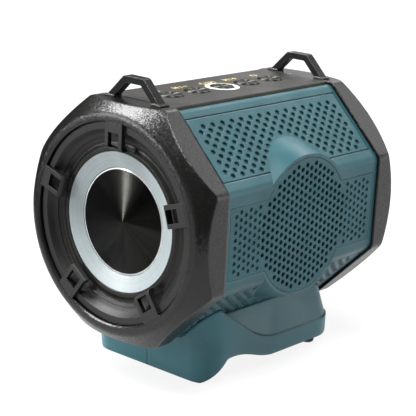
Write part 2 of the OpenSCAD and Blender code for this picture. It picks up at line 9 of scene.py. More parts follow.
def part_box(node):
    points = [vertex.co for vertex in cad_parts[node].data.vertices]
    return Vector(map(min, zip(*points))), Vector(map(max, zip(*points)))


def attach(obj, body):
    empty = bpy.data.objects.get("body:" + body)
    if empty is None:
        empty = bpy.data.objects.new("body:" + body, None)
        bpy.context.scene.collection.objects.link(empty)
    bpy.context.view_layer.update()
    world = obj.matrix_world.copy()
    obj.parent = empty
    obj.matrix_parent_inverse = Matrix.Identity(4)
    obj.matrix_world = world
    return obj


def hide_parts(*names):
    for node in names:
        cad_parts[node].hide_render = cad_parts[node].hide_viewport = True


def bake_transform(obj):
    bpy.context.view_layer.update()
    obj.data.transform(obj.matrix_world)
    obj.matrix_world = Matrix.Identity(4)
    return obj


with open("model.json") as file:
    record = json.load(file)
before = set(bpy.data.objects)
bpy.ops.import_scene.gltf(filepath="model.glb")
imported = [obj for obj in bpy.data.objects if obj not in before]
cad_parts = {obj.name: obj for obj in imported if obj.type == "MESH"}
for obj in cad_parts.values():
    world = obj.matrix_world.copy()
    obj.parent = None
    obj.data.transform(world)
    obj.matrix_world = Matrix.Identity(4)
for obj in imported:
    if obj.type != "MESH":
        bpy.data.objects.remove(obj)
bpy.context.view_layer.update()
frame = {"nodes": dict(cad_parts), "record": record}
nodes = frame["nodes"]

# Sizes taken from the frame, in metres

MM = 0.001
X_AXIS = (1.0, 0.0, 0.0)
Z_AXIS = (0.0, 0.0, 1.0)
MOUTH_CLEARANCE = 0.2 * MM

cap_low, cap_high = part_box("left_end_cap")
roll_low, roll_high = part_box("front_driver_surround")
button_low, button_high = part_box("next_button")
disc_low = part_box("left_radiator_disc")[0]
surround_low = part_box("left_surround")[0]
panel_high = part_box("control_panel")[1]

AXIS_Z = (cap_low.z + cap_high.z) / 2
DRIVER_Z = (roll_low.z + roll_high.z) / 2
BODY_CENTRE = (0.0, 0.0, AXIS_Z)
DISC_RADIUS = AXIS_Z - disc_low.z
FLANGE_RADIUS = AXIS_Z - surround_low.z
MOUTH_RADIUS = FLANGE_RADIUS + MOUTH_CLEARANCE
BUTTON_PITCH = (button_low.x + button_high.x) / 2
PANEL_TOP = panel_high.z


def paint(red, green, blue):
    """A colour written as on a screen, 0 to 255, in Blender's linear values."""
    linear = []
    for level in (red, green, blue):
        share = level / 255
        linear.append(share / 12.92 if share <= 0.04045 else ((share + 0.055) / 1.055) ** 2.4)
    return (*linear, 1.0)


# Camera

CAMERA_PLACE = Vector((-0.61380, -0.51585, 0.30280))
CAMERA_AZIMUTH = math.radians(-49.639)
CAMERA_ELEVATION = math.radians(15.368)
CAMERA_ROLL = math.radians(2.984)
CAMERA_LENS = 125.36
SENSOR_WIDTH = 36.0
NEAREST_SEEN = 0.05
FARTHEST_SEEN = 50.0


def make_camera():
    """The photograph's camera, turned by its azimuth, elevation and roll."""
    level = math.cos(CAMERA_ELEVATION)
    back = Vector(
        (
            math.sin(CAMERA_AZIMUTH) * level,
            -math.cos(CAMERA_AZIMUTH) * level,
            math.sin(CAMERA_ELEVATION),
        )
    )
    flat_right = (-back).cross(Vector(Z_AXIS)).normalized()
    flat_up = flat_right.cross(-back)
    right = math.cos(CAMERA_ROLL) * flat_right + math.sin(CAMERA_ROLL) * flat_up
    up = math.cos(CAMERA_ROLL) * flat_up - math.sin(CAMERA_ROLL) * flat_right
    data = bpy.data.cameras.new("studio_camera")
    data.sensor_fit = "HORIZONTAL"
    data.sensor_width = SENSOR_WIDTH
    data.lens = CAMERA_LENS
    data.clip_start = NEAREST_SEEN
    data.clip_end = FARTHEST_SEEN
    camera = bpy.data.objects.new("studio_camera", data)
    bpy.context.scene.collection.objects.link(camera)
    turn = Matrix((right, up, back)).transposed()
    camera.matrix_world = Matrix.Translation(CAMERA_PLACE) @ turn.to_4x4()
    bpy.context.scene.camera = camera


make_camera()


# Shader building


def feed(tree, socket, value):
    """Joins a socket to another one, or sets it to a plain value."""
    if isinstance(value, bpy.types.NodeSocket):
        tree.links.new(value, socket)
    else:
        socket.default_value = value


def add(tree, kind, inputs=None, **settings):
    """A node with its settings, and each input set to a value or joined to a socket."""
    made = tree.nodes.new(kind)
    for name, value in settings.items():
        setattr(made, name, value)
    for key, value in (inputs or {}).items():
        feed(tree, made.inputs[key], value)
    return made


def sums(tree, operation, *values):
    """A Math node's result."""
    return add(tree, "ShaderNodeMath", dict(enumerate(values)), operation=operation).outputs[0]


def vectors(tree, operation, *values):
    """A Vector Math node, for its Vector or Value output."""
    return add(tree, "ShaderNodeVectorMath", dict(enumerate(values)), operation=operation)


def scaled(tree, vector, factor):
    """A vector or colour made longer or shorter."""
    inputs = {0: vector, "Scale": factor}
    return add(tree, "ShaderNodeVectorMath", inputs, operation="SCALE").outputs[0]


def leaned(tree, normal, lean):
    """A normal tilted by a vector."""
    tilted = vectors(tree, "ADD", normal, lean).outputs[0]
    return vectors(tree, "NORMALIZE", tilted).outputs[0]


def blended(tree, share, first, second):
    """A colour between two others."""
    mix = add(tree, "ShaderNodeMix", {0: share, 6: first, 7: second}, data_type="RGBA")
    return mix.outputs[2]


def ranged(tree, value, low, high, out_low, out_high):
    """A value moved smoothly from one range to another."""
    return add(
        tree,
        "ShaderNodeMapRange",
        {0: value, 1: low, 2: high, 3: out_low, 4: out_high},
        interpolation_type="SMOOTHSTEP",
    ).outputs[0]


NOISE_LOW, NOISE_HIGH = 0.3, 0.7
MOTTLE_LOW, MOTTLE_HIGH = 0.35, 0.65
SMEAR_LOW, SMEAR_HIGH = 0.35, 0.7


def stretched(tree, noise, low=NOISE_LOW, high=NOISE_HIGH):
    """A noise drawn out over the whole range from 0 to 1."""
    return ranged(tree, noise, low, high, 0.0, 1.0)


def object_place(tree):
    """The place on the object, in metres."""
    return add(tree, "ShaderNodeTexCoord").outputs["Object"]


def new_group(name, inputs, outputs):
    """An empty shader node group with named sockets: (tree, its inputs, its outputs)."""
    tree = bpy.data.node_groups.new(name, "ShaderNodeTree")
    for title, kind, value in inputs:
        socket = tree.interface.new_socket(title, in_out="INPUT", socket_type=kind)
        if value is not None:
            socket.default_value = value
    for title, kind in outputs:
        tree.interface.new_socket(title, in_out="OUTPUT", socket_type=kind)
    given = tree.nodes.new("NodeGroupInput").outputs
    return tree, given, tree.nodes.new("NodeGroupOutput").inputs


# Effects that several finishes share

FLOAT, VECTOR = "NodeSocketFloat", "NodeSocketVector"
EDGE_SAMPLES = 6
EDGE_BEGINS, EDGE_FULL = 0.99, 0.86
MOTTLES_PER_METRE = 45.0
SPOKES_ROUND = 5.0


def soft_edge_group():
    """Rounds the shading of sharp edges and gives a mask of where they are."""
    tree, given, out = new_group(
        "soft_edges",
        [("Radius", FLOAT, 0.8 * MM)],
        [("Normal", VECTOR), ("Edge", FLOAT)],
    )
    bevel = add(tree, "ShaderNodeBevel", {"Radius": given["Radius"]}, samples=EDGE_SAMPLES)
    face = add(tree, "ShaderNodeNewGeometry").outputs["Normal"]
    likeness = vectors(tree, "DOT_PRODUCT", bevel.outputs[0], face).outputs["Value"]
    tree.links.new(bevel.outputs[0], out["Normal"])
    tree.links.new(stretched(tree, likeness, EDGE_BEGINS, EDGE_FULL), out["Edge"])
    return tree


def moulded_grain_group():
    """Spark-eroded grain: each tiny cell leans its own way. Also a slow mottle and a height."""
    tree, given, out = new_group(
        "moulded_grain",
        [("Normal", VECTOR, None), ("Grain", FLOAT, 0.5 * MM), ("Lean", FLOAT, 0.1)],
        [("Normal", VECTOR), ("Height", FLOAT), ("Mottle", FLOAT)],
    )
    place = object_place(tree)
    per_metre = sums(tree, "DIVIDE", 1.0, given["Grain"])
    cells = add(tree, "ShaderNodeTexVoronoi", {"Vector": place, "Scale": per_metre})
    leaning = vectors(tree, "SUBTRACT", cells.outputs["Color"], (0.5, 0.5, 0.5)).outputs[0]
    lean = scaled(tree, leaning, given["Lean"])
    tree.links.new(leaned(tree, given["Normal"], lean), out["Normal"])
    fine = add(
        tree,
        "ShaderNodeTexNoise",
        {"Vector": place, "Scale": per_metre, "Detail": 3.0, "Roughness": 0.6},
    )
    tree.links.new(fine.outputs[0], out["Height"])
    slow = add(
        tree,
        "ShaderNodeTexNoise",
        {"Vector": place, "Scale": MOTTLES_PER_METRE, "Detail": 4.0},
    )
    tree.links.new(slow.outputs[0], out["Mottle"])
    return tree


def handling_group():
    """Faint smears from handling, as a roughness that wanders round its own middle."""
    tree, given, out = new_group(
        "handling",
        [("Roughness", FLOAT, 0.4), ("Spread", FLOAT, 0.1), ("Size", FLOAT, 25 * MM)],
        [("Roughness", FLOAT), ("Smear", FLOAT)],
    )
    per_metre = sums(tree, "DIVIDE", 1.0, given["Size"])
    clouds = add(
        tree,
        "ShaderNodeTexNoise",
        {"Vector": object_place(tree), "Scale": per_metre, "Detail": 5.0, "Distortion": 0.6},
    )
    smear = stretched(tree, clouds.outputs[0], SMEAR_LOW, SMEAR_HIGH)
    wander = sums(tree, "MULTIPLY", sums(tree, "SUBTRACT", smear, 0.5), given["Spread"])
    tree.links.new(sums(tree, "ADD", given["Roughness"], wander), out["Roughness"])
    tree.links.new(smear, out["Smear"])
    return tree


def turned_group():
    """A face turned on a lathe: its radius, fine rings, faint spokes and a dished normal."""
    tree, given, out = new_group(
        "turned_face",
        [
            ("Centre", VECTOR, None),
            ("Axis", VECTOR, Z_AXIS),
            ("Pitch", FLOAT, 0.3 * MM),
            ("Normal", VECTOR, None),
            ("Dish", FLOAT, 0.0),
        ],
        [("Radius", FLOAT), ("Rings", FLOAT), ("Normal", VECTOR), ("Sector", FLOAT)],
    )
    arm = vectors(tree, "SUBTRACT", object_place(tree), given["Centre"]).outputs[0]
    along = vectors(tree, "PROJECT", arm, given["Axis"]).outputs[0]
    across = vectors(tree, "SUBTRACT", arm, along).outputs[0]
    radius = vectors(tree, "LENGTH", across).outputs["Value"]
    outward = vectors(tree, "NORMALIZE", across).outputs[0]
    tree.links.new(radius, out["Radius"])
    rings = add(
        tree,
        "ShaderNodeTexNoise",
        {
            "W": sums(tree, "DIVIDE", radius, given["Pitch"]),
            "Scale": 1.0,
            "Detail": 3.0,
            "Roughness": 0.65,
        },
        noise_dimensions="1D",
    )
    tree.links.new(rings.outputs[0], out["Rings"])
    lean = scaled(tree, outward, given["Dish"])
    tree.links.new(leaned(tree, given["Normal"], lean), out["Normal"])
    spokes = add(
        tree,
        "ShaderNodeTexNoise",
        {"Vector": outward, "Scale": SPOKES_ROUND, "Detail": 4.0, "Roughness": 0.7},
    )
    tree.links.new(spokes.outputs[0], out["Sector"])
    return tree


SOFT_EDGES = soft_edge_group()
MOULDED_GRAIN = moulded_grain_group()
HANDLING = handling_group()
TURNED_FACE = turned_group()


def use(tree, group, **values):
    """A group placed in a material with its own values: its outputs."""
    made = tree.nodes.new("ShaderNodeGroup")
    made.node_tree = group
    for key, value in values.items():
        feed(tree, made.inputs[key], value)
    return made.outputs


def new_finish(name, **plain):
    """A material with its Principled shader's plain values set on its own sockets."""
    material = bpy.data.materials.new(name)
    material.use_nodes = True
    tree = material.node_tree
    surface = tree.nodes["Principled BSDF"].inputs
    for key, value in plain.items():
        surface[key.replace("_", " ")].default_value = value
    return material, tree, surface


def mottled(tree, grains, deep, colour):
    """A colour with slow, faint clouds of a deeper one."""
    return blended(tree, stretched(tree, grains["Mottle"], MOTTLE_LOW, MOTTLE_HIGH), deep, colour)


def edge_wear_and_sheen(tree, surface, soft, tone, worn, rub, roughness, polish):
    """Colour and roughness with the edges lighter and smoother: wear, and on the strap loops
    painted highlight lines.
    """
    # Lighter edges: wear, and on the strap loops painted highlight lines.
    wear_and_sheen_mask = sums(tree, "MULTIPLY", soft["Edge"], rub)
    tree.links.new(blended(tree, wear_and_sheen_mask, tone, worn), surface["Base Color"])
    smoothed = sums(tree, "MULTIPLY", soft["Edge"], -polish)
    tree.links.new(sums(tree, "ADD", roughness, smoothed), surface["Roughness"])


# Finishes

TEAL = paint(45, 90, 98)
TEAL_DEEP = paint(40, 83, 91)
TEAL_WORN = paint(84, 128, 136)
CAP_BLACK = paint(14, 14, 13)
CAP_DEEP = paint(11, 11, 10)
CAP_WORN = paint(40, 40, 38)
SPUN_RINGS = 0.35 * MM
CONE_RINGS = 0.6 * MM
CAP_GRAIN = 0.6 * MM
WEAVE_PER_METRE = 900.0
TRACKS_PER_METRE = 160.0


def moulded(
    name,
    colour,
    deep,
    worn,
    rough,
    grain,
    lean,
    edge,
    bump=0.06,
    spread=0.12,
    rub=0.55,
    polish=0.08,
    **plain,
):
    """Moulded plastic or rubber: grain, slow mottle, handling smears and lighter edges, worn and,
    on the strap loops, painted highlight lines.
    """
    material, tree, surface = new_finish(name, **plain)
    soft = use(tree, SOFT_EDGES, Radius=edge)
    grains = use(tree, MOULDED_GRAIN, Normal=soft["Normal"], Grain=grain, Lean=lean)
    marks = use(tree, HANDLING, Roughness=rough, Spread=spread)
    tone = mottled(tree, grains, deep, colour)
    edge_wear_and_sheen(tree, surface, soft, tone, worn, rub, marks["Roughness"], polish)
    relief = add(
        tree,
        "ShaderNodeBump",
        {
            "Strength": bump,
            "Distance": grain,
            "Height": grains["Height"],
            "Normal": grains["Normal"],
        },
    )
    tree.links.new(relief.outputs[0], surface["Normal"])
    return material


def nearest_button(tree):
    """The centre of the button that a point lies on, from the buttons' even spacing."""
    along = add(tree, "ShaderNodeSeparateXYZ", {0: object_place(tree)}).outputs[0]
    count = sums(tree, "ROUND", sums(tree, "DIVIDE", along, BUTTON_PITCH))
    middle = sums(tree, "MULTIPLY", count, BUTTON_PITCH)
    return add(tree, "ShaderNodeCombineXYZ", {0: middle}).outputs[0]


def spun_metal(name, centre, axis, along, colour, ring, rough, dish, edge, rim=None):
    """Metal spun on a lathe: fine rings, faint spokes of painted sheen, a stretched highlight,
    and a rim painted as a highlight line when given.
    """
    material, tree, surface = new_finish(
        name, Metallic=1.0, Anisotropic=0.95, Anisotropic_Rotation=0.25
    )
    soft = use(tree, SOFT_EDGES, Radius=edge)
    turned = use(
        tree,
        TURNED_FACE,
        Centre=centre or nearest_button(tree),
        Axis=axis,
        Pitch=SPUN_RINGS,
        Normal=soft["Normal"],
        Dish=dish,
    )
    marks = use(tree, HANDLING, Roughness=rough, Spread=0.06, Size=12 * MM)
    roughness = marks["Roughness"]
    ringed = blended(tree, stretched(tree, turned["Rings"]), colour, ring)
    # Faint spokes: the base colour painted lighter and darker in sectors, a painted sheen of spun
    # metal.
    painted_spoke_sheen = ranged(tree, turned["Sector"], NOISE_LOW, NOISE_HIGH, 0.75, 1.25)
    face = scaled(tree, ringed, painted_spoke_sheen)
    # The rim: a cut metal edge whose colour is painted near white, less metallic and smoother, as
    # a painted highlight line.
    if rim:
        start, end, painted_rim_highlight = rim
        cut = ranged(tree, turned["Radius"], start, end, 0.0, 1.0)
        face = blended(tree, cut, face, painted_rim_highlight)
        smoother = ranged(tree, cut, 0.0, 1.0, 1.0, 0.8)
        roughness = sums(tree, "MULTIPLY", roughness, smoother)
        tree.links.new(ranged(tree, cut, 0.0, 1.0, 1.0, 0.25), surface["Metallic"])
    tree.links.new(face, surface["Base Color"])
    tree.links.new(roughness, surface["Roughness"])
    lines = add(
        tree,
        "ShaderNodeBump",
        {
            "Strength": 0.04,
            "Distance": 0.1 * MM,
            "Height": turned["Rings"],
            "Normal": turned["Normal"],
        },
    )
    tree.links.new(lines.outputs[0], surface["Normal"])
    tangent = add(tree, "ShaderNodeTangent", direction_type="RADIAL", axis=along)
    tree.links.new(tangent.outputs[0], surface["Tangent"])
    return material


def frosted_cone():
    """Pale satin ring, spun, with faint streaks round it."""
    material, tree, surface = new_finish("pale_cone")
    soft = use(tree, SOFT_EDGES, Radius=0.4 * MM)
    turned = use(
        tree,
        TURNED_FACE,
        Centre=BODY_CENTRE,
        Axis=X_AXIS,
        Pitch=CONE_RINGS,
        Normal=soft["Normal"],
    )
    grains = use(tree, MOULDED_GRAIN, Normal=soft["Normal"], Grain=0.6 * MM, Lean=0.04)
    marks = use(tree, HANDLING, Roughness=0.34, Spread=0.1, Size=14 * MM)
    ringed = stretched(tree, turned["Rings"])
    tone = blended(tree, ringed, paint(142, 152, 154), paint(160, 169, 171))
    streak = ranged(tree, turned["Sector"], NOISE_LOW, NOISE_HIGH, 0.0, 0.3)
    tree.links.new(blended(tree, streak, tone, paint(132, 144, 147)), surface["Base Color"])
    tree.links.new(marks["Roughness"], surface["Roughness"])
    tree.links.new(grains["Normal"], surface["Normal"])
    return material


def cap_plastic():
    """Black grained plastic of the end caps, calmer and with crisp edges inside the mouth."""
    material, tree, surface = new_finish("cap_plastic", Specular_IOR_Level=0.43)
    radius = use(tree, TURNED_FACE, Centre=BODY_CENTRE, Axis=X_AXIS)["Radius"]

    def across_mouth(before, after, inside, outside):
        """A value that changes near the mouth's rim, from inside it to outside."""
        return ranged(tree, radius, MOUTH_RADIUS + before, MOUTH_RADIUS + after, inside, outside)

    edge = across_mouth(0.0, 2 * MM, 0.35 * MM, 1.6 * MM)
    lean = across_mouth(-2 * MM, 1 * MM, 0.07, 0.17)
    rough = across_mouth(-2 * MM, 1 * MM, 0.5, 0.31)
    soft = use(tree, SOFT_EDGES, Radius=edge)
    grains = use(tree, MOULDED_GRAIN, Normal=soft["Normal"], Grain=CAP_GRAIN, Lean=lean)
    marks = use(tree, HANDLING, Roughness=rough, Spread=0.02)
    tone = mottled(tree, grains, CAP_DEEP, CAP_BLACK)
    edge_wear_and_sheen(tree, surface, soft, tone, CAP_WORN, 0.5, marks["Roughness"], 0.2)
    tree.links.new(grains["Normal"], surface["Normal"])
    return material


def circuit_board():
    """Green board with a weave under its varnish and a grid of lighter tracks."""
    material, tree, surface = new_finish("circuit_board")
    place = object_place(tree)
    weave = add(
        tree,
        "ShaderNodeTexWave",
        {"Vector": place, "Scale": WEAVE_PER_METRE, "Distortion": 0.4},
    )
    tracks = add(
        tree,
        "ShaderNodeTexBrick",
        {"Vector": place, "Scale": TRACKS_PER_METRE, "Mortar Size": 0.03},
    )
    green = blended(tree, weave.outputs["Fac"], paint(22, 66, 46), paint(30, 82, 56))
    tone = blended(tree, tracks.outputs["Fac"], green, paint(70, 120, 70))
    tree.links.new(tone, surface["Base Color"])
    marks = use(tree, HANDLING, Roughness=0.38, Spread=0.1)
    tree.links.new(marks["Roughness"], surface["Roughness"])
    return material


def driver_paper():
    """Pressed paper with pulp fibres."""
    material, tree, surface = new_finish("driver_paper")
    grains = use(tree, MOULDED_GRAIN, Grain=0.9 * MM, Lean=0.12)
    marks = use(tree, HANDLING, Roughness=0.75, Spread=0.15)
    fibres = stretched(tree, grains["Height"])
    tone = blended(tree, fibres, paint(24, 24, 25), paint(44, 44, 45))
    tree.links.new(tone, surface["Base Color"])
    tree.links.new(marks["Roughness"], surface["Roughness"])
    relief = add(
        tree,
        "ShaderNodeBump",
        {"Strength": 0.3, "Distance": 0.3 * MM, "Height": grains["Height"]},
    )
    tree.links.new(relief.outputs[0], surface["Normal"])
    return material


def gold_print():
    """Thin gold print with a slightly uneven laydown."""
    material, tree, surface = new_finish("gold_print", Metallic=0.35)
    grains = use(tree, MOULDED_GRAIN, Grain=0.3 * MM, Lean=0.05)
    marks = use(tree, HANDLING, Roughness=0.4, Spread=0.1, Size=4 * MM)
    laydown = stretched(tree, grains["Height"])
    tone = blended(tree, laydown, paint(206, 186, 112), paint(226, 210, 146))
    tree.links.new(tone, surface["Base Color"])
    tree.links.new(marks["Roughness"], surface["Roughness"])
    return material


# Looks of the moulded and plain metal finishes, by material slot

MOULDED = {
    "teal_plastic": dict(
        colour=TEAL,
        deep=TEAL_DEEP,
        worn=TEAL_WORN,
        rough=0.46,
        grain=0.5 * MM,
        lean=0.04,
        edge=0.9 * MM,
        rub=0.4,
        polish=0.34,
        Specular_IOR_Level=0.36,
    ),
    "grille_plastic": dict(
        colour=TEAL,
        deep=TEAL_DEEP,
        worn=TEAL_WORN,
        rough=0.48,
        grain=0.5 * MM,
        lean=0.06,
        edge=0.3 * MM,
        polish=0.28,
        Specular_IOR_Level=0.3,
    ),
    "panel_plastic": dict(
        colour=paint(50, 49, 46),
        deep=paint(44, 43, 41),
        worn=paint(84, 83, 79),
        rough=0.48,
        grain=0.4 * MM,
        lean=0.1,
        edge=1.0 * MM,
        Specular_IOR_Level=0.35,
    ),
    "loop_plastic": dict(
        colour=paint(11, 12, 12),
        deep=paint(8, 9, 9),
        # A light edge tone: painted highlight lines along the loop's edges.
        worn=paint(120, 121, 120),
        rough=0.3,
        grain=0.5 * MM,
        lean=0.05,
        edge=0.8 * MM,
        rub=0.7,
        polish=0.15,
        Specular_IOR_Level=0.12,
    ),
    "rubber": dict(
        colour=paint(25, 25, 23),
        deep=paint(20, 20, 19),
        worn=paint(44, 44, 42),
        rough=0.36,
        grain=0.4 * MM,
        lean=0.14,
        edge=0.4 * MM,
        bump=0.02,
        Specular_IOR_Level=0.27,
    ),
    "foot_rubber": dict(
        colour=paint(22, 22, 22),
        deep=paint(17, 17, 17),
        worn=paint(38, 38, 38),
        rough=0.6,
        grain=0.6 * MM,
        lean=0.1,
        edge=0.6 * MM,
    ),
    "frame_plastic": dict(
        colour=paint(26, 26, 27),
        deep=paint(21, 21, 22),
        worn=paint(44, 44, 45),
        rough=0.5,
        grain=0.5 * MM,
        lean=0.08,
        edge=0.5 * MM,
    ),
    "light_guide": dict(
        colour=paint(228, 231, 232),
        deep=paint(218, 221, 223),
        worn=paint(238, 240, 240),
        rough=0.3,
        grain=0.4 * MM,
        lean=0.02,
        edge=0.3 * MM,
    ),
    "screw_steel": dict(
        colour=paint(138, 140, 142),
        deep=paint(120, 122, 124),
        worn=paint(176, 178, 180),
        rough=0.34,
        grain=0.3 * MM,
        lean=0.08,
        edge=0.25 * MM,
        Metallic=1.0,
    ),
    "magnet_steel": dict(
        colour=paint(126, 128, 130),
        deep=paint(108, 110, 113),
        worn=paint(160, 162, 164),
        rough=0.42,
        grain=0.5 * MM,
        lean=0.08,
        edge=0.4 * MM,
        Metallic=1.0,
    ),
    "basket_steel": dict(
        colour=paint(44, 45, 47),
        deep=paint(38, 39, 41),
        worn=paint(90, 92, 94),
        rough=0.45,
        grain=0.7 * MM,
        lean=0.1,
        edge=0.4 * MM,
        Metallic=0.6,
    ),
    "terminal_brass": dict(
        colour=paint(190, 154, 86),
        deep=paint(172, 136, 70),
        worn=paint(214, 182, 116),
        rough=0.32,
        grain=0.3 * MM,
        lean=0.06,
        edge=0.3 * MM,
        Metallic=1.0,
    ),
}

FINISHES = {name: moulded(name, **look) for name, look in MOULDED.items()}
FINISHES["cap_plastic"] = cap_plastic()
FINISHES["pale_cone"] = frosted_cone()
FINISHES["circuit_board"] = circuit_board()
FINISHES["driver_paper"] = driver_paper()
FINISHES["spun_disc"] = spun_metal(
    "spun_disc",
    centre=BODY_CENTRE,
    axis=X_AXIS,
    along="X",
    colour=paint(27, 27, 26),
    ring=paint(44, 44, 42),
    rough=0.32,
    dish=0.7,
    edge=0.3 * MM,
    # A cut edge on the rim, its colour painted near white as a highlight line.
    rim=(DISC_RADIUS - 1.1 * MM, DISC_RADIUS - 0.9 * MM, paint(250, 252, 252)),
)
FINISHES["button_metal"] = spun_metal(
    "button_metal",
    centre=None,
    axis=Z_AXIS,
    along="Z",
    colour=paint(72, 71, 69),
    ring=paint(98, 97, 94),
    rough=0.56,
    dish=0.12,
    edge=1.0 * MM,
)
# The base's teal, painted lighter than the shell's: a lit copy of the same plastic, with softer
# edges.
LIT_FOOT_PLASTIC = moulded(
    "lit_soft_teal_plastic",
    colour=paint(60, 112, 122),
    deep=paint(55, 105, 115),
    worn=TEAL_WORN,
    rough=0.4,
    grain=0.5 * MM,
    lean=0.06,
    edge=2.2 * MM,
    rub=0.1,
    Specular_IOR_Level=0.36,
)
GOLD_PRINT = gold_print()


def dress(obj, material):
    """Gives an object one finish."""
    obj.data.materials.clear()
    obj.data.materials.append(material)


for part in frame["record"]["subparts"]:
    dress(nodes[part["node"]], FINISHES[part["material_slot"]])
for half in ("base_front_half", "base_rear_half"):
    dress(nodes[half], LIT_FOOT_PLASTIC)


# Rubber rings, with their sections (radius, height) in mm


def new_piece(name, mesh, material, smooth):
    """A mesh as a piece of the scene, in its finish."""
    for face in mesh.polygons:
        face.use_smooth = smooth
    piece = bpy.data.objects.new(name, mesh)
    bpy.context.scene.collection.objects.link(piece)
    dress(piece, material)
    return piece


def closed_mesh(name, shape):
    """A finished mesh from its draft, with the faces turned outward."""
    mesh = bpy.data.meshes.new(name)
    bmesh.ops.recalc_face_normals(shape, faces=shape.faces)
    shape.to_mesh(mesh)
    shape.free()
    return mesh


def arc(middle, height, radius, start, end, steps):
    """Points (radius, height) on a circle in a section, angles in degrees."""
    points = []
    for step in range(steps + 1):
        angle = math.radians(start + (end - start) * step / steps)
        points.append((middle + radius * math.cos(angle), height + radius * math.sin(angle)))
    return points


def rounded_section(corners, steps=10):
    """A closed section from corners (radius, height, rounding)."""
    points = []
    for spot, (radius, height, rounding) in enumerate(corners):
        if not rounding:
            points.append((radius, height))
            continue
        here = Vector((radius, height))
        before = (Vector(corners[spot - 1][:2]) - here).normalized()
        after = (Vector(corners[(spot + 1) % len(corners)][:2]) - here).normalized()
        half = before.angle(after) / 2
        middle = here + (before + after).normalized() * rounding / math.sin(half)
        first = here + before * rounding / math.tan(half) - middle
        last = here + after * rounding / math.tan(half) - middle
        start = math.degrees(math.atan2(first.y, first.x))
        sweep = (math.degrees(math.atan2(last.y, last.x)) - start + 180) % 360 - 180
        points += arc(middle.x, middle.y, rounding, start, start + sweep, steps)
    return points


RING_TURNS = 144
RING_CREASE = math.radians(40)


def turned_ring(name, section, place):
    """A closed section turned into a ring along +Z, then put in place."""
    shape = bmesh.new()
    hoops = []
    for turn in range(RING_TURNS):
        angle = 2 * math.pi * turn / RING_TURNS
        hoop = []
        for radius, height in section:
            reach = radius * MM
            point = Vector((reach * math.cos(angle), reach * math.sin(angle), height * MM))
            hoop.append(shape.verts.new(place @ point))
        hoops.append(hoop)
    count = len(section)
    for turn in range(RING_TURNS):
        this, following = hoops[turn], hoops[(turn + 1) % RING_TURNS]
        for spot in range(count):
            further = (spot + 1) % count
            shape.faces.new((this[spot], following[spot], following[further], this[further]))
    return closed_mesh(name, shape)


def rubber_ring(name, node, section, place):
    """A rubber ring turned from its section and put in place; the part it stands for is hidden.
    """
    piece = new_piece(name, turned_ring(name, section, place), FINISHES["rubber"], smooth=True)
    crease = piece.modifiers.new("section_edges", "EDGE_SPLIT")
    crease.split_angle = RING_CREASE
    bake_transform(piece)
    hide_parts(node)


CONE_EDGE = 38.6
TROUGH_IN = 40.6
TROUGH_OUT = 46.5
TROUGH_BACK = TROUGH_OUT + 0.4
TROUGH_LOW = (TROUGH_IN + TROUGH_OUT) / 2
TROUGH_DEPTH = 1.7
FLANGE_OUT = FLANGE_RADIUS / MM
SEAT = -surround_low.x / MM
SHEET = 1.0
END_TROUGH = rounded_section(
    [
        (CONE_EDGE, SEAT - SHEET, 0),
        (CONE_EDGE, SEAT, 0.3),
        (TROUGH_IN, SEAT, 0.6),
        (TROUGH_LOW, SEAT - TROUGH_DEPTH, 2.6),
        (TROUGH_OUT, SEAT, 0),
        (FLANGE_OUT, SEAT, 0),
        (FLANGE_OUT, SEAT - SHEET, 0),
        (TROUGH_BACK, SEAT - SHEET, 0),
        (TROUGH_LOW, SEAT - SHEET - TROUGH_DEPTH, 2.0),
        (TROUGH_IN, SEAT - SHEET, 0),
    ]
)

ROLL_IN = 25.0
ROLL_OUT = roll_high.x / MM
ROLL_MIDDLE = 28.0
ROLL_BASE = -roll_high.y / MM
ROLL_SHEET = 0.7
ROLL_TOP = ROLL_BASE + ROLL_SHEET
ROLL_CROWN = 2.2
ROLL_HOLLOW = ROLL_CROWN - ROLL_SHEET
ROLL_START = 18.6
DRIVER_ROLL = (
    [(ROLL_IN, ROLL_BASE), (ROLL_IN, ROLL_TOP)]
    + arc(ROLL_MIDDLE, ROLL_BASE, ROLL_CROWN, 180.0 - ROLL_START, ROLL_START, 16)
    + [(ROLL_OUT, ROLL_TOP), (ROLL_OUT, ROLL_BASE), (ROLL_MIDDLE + ROLL_HOLLOW, ROLL_BASE)]
    + arc(ROLL_MIDDLE, ROLL_BASE, ROLL_HOLLOW, 0.0, 180.0, 14)
)


def facing(height, degrees, axis):
    """The place of a ring that faces out of the body at a height, turned from +Z."""
    return Matrix.Translation((0, 0, height)) @ Matrix.Rotation(math.radians(degrees), 4, axis)


for end, degrees in (("left", -90), ("right", 90)):
    rubber_ring(
        f"{end}_rubber_ring",
        f"{end}_surround",
        END_TROUGH,
        facing(AXIS_Z, degrees, "Y"),
    )
for side, degrees in (("front", 90), ("rear", -90)):
    rubber_ring(
        f"{side}_driver_ring",
        f"{side}_driver_surround",
        DRIVER_ROLL,
        facing(DRIVER_Z, degrees, "X"),
    )


# Gold marks behind the buttons, as flat outlines in mm

MARK_Y = 12.4
MARK_HALF = 1.9
MARK_TALL = 3.6
MARK_SCALE = 1.2
MARK_THICK = 0.06 * MM
MARK_SUNK = 0.02 * MM
STROKE = 0.6
PAUSE_STROKE = 0.7
SIGN_STROKE = 0.75
SIGN_SPAN = 3.0
SLASH_LEAN = 0.75
SLASH_STROKE = 0.4
RING_INSIDE = 1.3


def triangle(x, width):
    """A triangle from x, pointing right for a positive width."""
    return [(x, -MARK_HALF), (x + width, 0.0), (x, MARK_HALF)]


def bar(x, y, width, height):
    """A bar round its middle."""
    left, right = x - width / 2, x + width / 2
    low, high = y - height / 2, y + height / 2
    return [(left, low), (right, low), (right, high), (left, high)]


